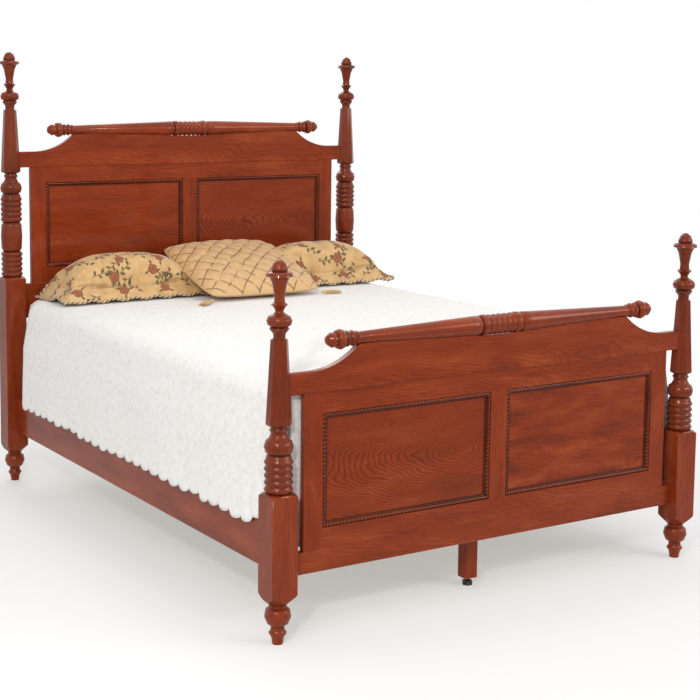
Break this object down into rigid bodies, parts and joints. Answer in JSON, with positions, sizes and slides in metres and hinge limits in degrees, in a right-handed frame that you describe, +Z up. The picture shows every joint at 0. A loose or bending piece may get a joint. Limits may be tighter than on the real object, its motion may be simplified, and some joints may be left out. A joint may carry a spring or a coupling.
{
  "type": "spindle bed",
  "caption": "Queen bed with turned posts and finials, scooped head and foot boards with recessed panels and turned rolls, side rails, slats, mattress, scalloped coverlet, shams and cushion.",
  "frame": {"origin": "on the floor at the middle of the bed, midway between the four posts", "axes": "+X across the bed to the right seen from the foot, +Y along the bed to the headboard, +Z up"},
  "size_m": [1.6806, 2.1704, 1.7276],
  "materials": {
    "bed_wood": "satin reddish-brown cherry stain",
    "panel_wood": "satin reddish-brown cherry stain, cathedral grain",
    "moulding_wood": "satin, darker stain in the carved twist",
    "slat_wood": "planed, unfinished pine",
    "fitting_steel": "zinc plated",
    "ticking": "plain woven ticking",
    "coverlet_cotton": "quilted off-white cotton",
    "sham_cotton": "printed cotton with a floral pattern",
    "cushion_silk": "pin-tucked gold fabric with a soft sheen",
    "tassel_thread": "twisted gold thread"
  },
  "bodies": {
    "frame": {"foot_lower_rail": "bed_wood", "foot_top_rail": "bed_wood", "foot_blanket_roll": "bed_wood", "foot_frame_rail_top": "bed_wood", "foot_frame_rail_bottom": "bed_wood", "foot_muntin": "bed_wood", "foot_post_left": "bed_wood", "foot_stile_left": "bed_wood", "foot_panel_left": "panel_wood", "foot_rope_moulding_left": "moulding_wood", "foot_post_right": "bed_wood", "foot_stile_right": "bed_wood", "foot_panel_right": "panel_wood", "foot_rope_moulding_right": "moulding_wood", "head_lower_rail": "bed_wood", "head_top_rail": "bed_wood", "head_blanket_roll": "bed_wood", "head_frame_rail_top": "bed_wood", "head_frame_rail_bottom": "bed_wood", "head_muntin": "bed_wood", "head_post_left": "bed_wood", "head_stile_left": "bed_wood", "head_panel_left": "panel_wood", "head_rope_moulding_left": "moulding_wood", "head_post_right": "bed_wood", "head_stile_right": "bed_wood", "head_panel_right": "panel_wood", "head_rope_moulding_right": "moulding_wood", "side_rail_left": "bed_wood", "cleat_left": "slat_wood", "side_rail_right": "bed_wood", "cleat_right": "slat_wood", "slat_1": "slat_wood", "slat_2": "slat_wood", "slat_3": "slat_wood", "slat_4": "slat_wood", "slat_5": "slat_wood", "support_leg_1": "slat_wood", "support_leg_2": "slat_wood", "support_leg_3": "slat_wood", "rail_hook_plates": "fitting_steel", "post_catch_plates": "fitting_steel", "box_spring": "ticking"},
    "centre_foot_1": {"leveller_1": "fitting_steel"},
    "centre_foot_2": {"leveller_2": "fitting_steel"},
    "centre_foot_3": {"leveller_3": "fitting_steel"},
    "mattress": {"mattress": "ticking", "coverlet": "coverlet_cotton"},
    "pillows": {"pillow_sham_left": "sham_cotton", "pillow_sham_right": "sham_cotton"},
    "cushion": {"accent_cushion": "cushion_silk", "cushion_tassels": "tassel_thread"}
  },
  "joints": [
    {"name": "mattress_lift", "type": "slide", "parent": "frame", "child": "mattress", "axis": [0, 0, 1], "range_m": [0, 0.08]},
    {"name": "pillows_lift", "type": "slide", "parent": "mattress", "child": "pillows", "axis": [0, 0, 1], "range_m": [0, 0.3]},
    {"name": "cushion_lift", "type": "slide", "parent": "pillows", "child": "cushion", "axis": [0, 0, 1], "range_m": [0, 0.25]},
    {"name": "centre_foot_1_screw", "type": "slide", "parent": "frame", "child": "centre_foot_1", "axis": [0, 0, 1], "range_m": [0, 0.012]},
    {"name": "centre_foot_2_screw", "type": "slide", "parent": "frame", "child": "centre_foot_2", "axis": [0, 0, 1], "range_m": [0, 0.012]},
    {"name": "centre_foot_3_screw", "type": "slide", "parent": "frame", "child": "centre_foot_3", "axis": [0, 0, 1], "range_m": [0, 0.012]}
  ]
}
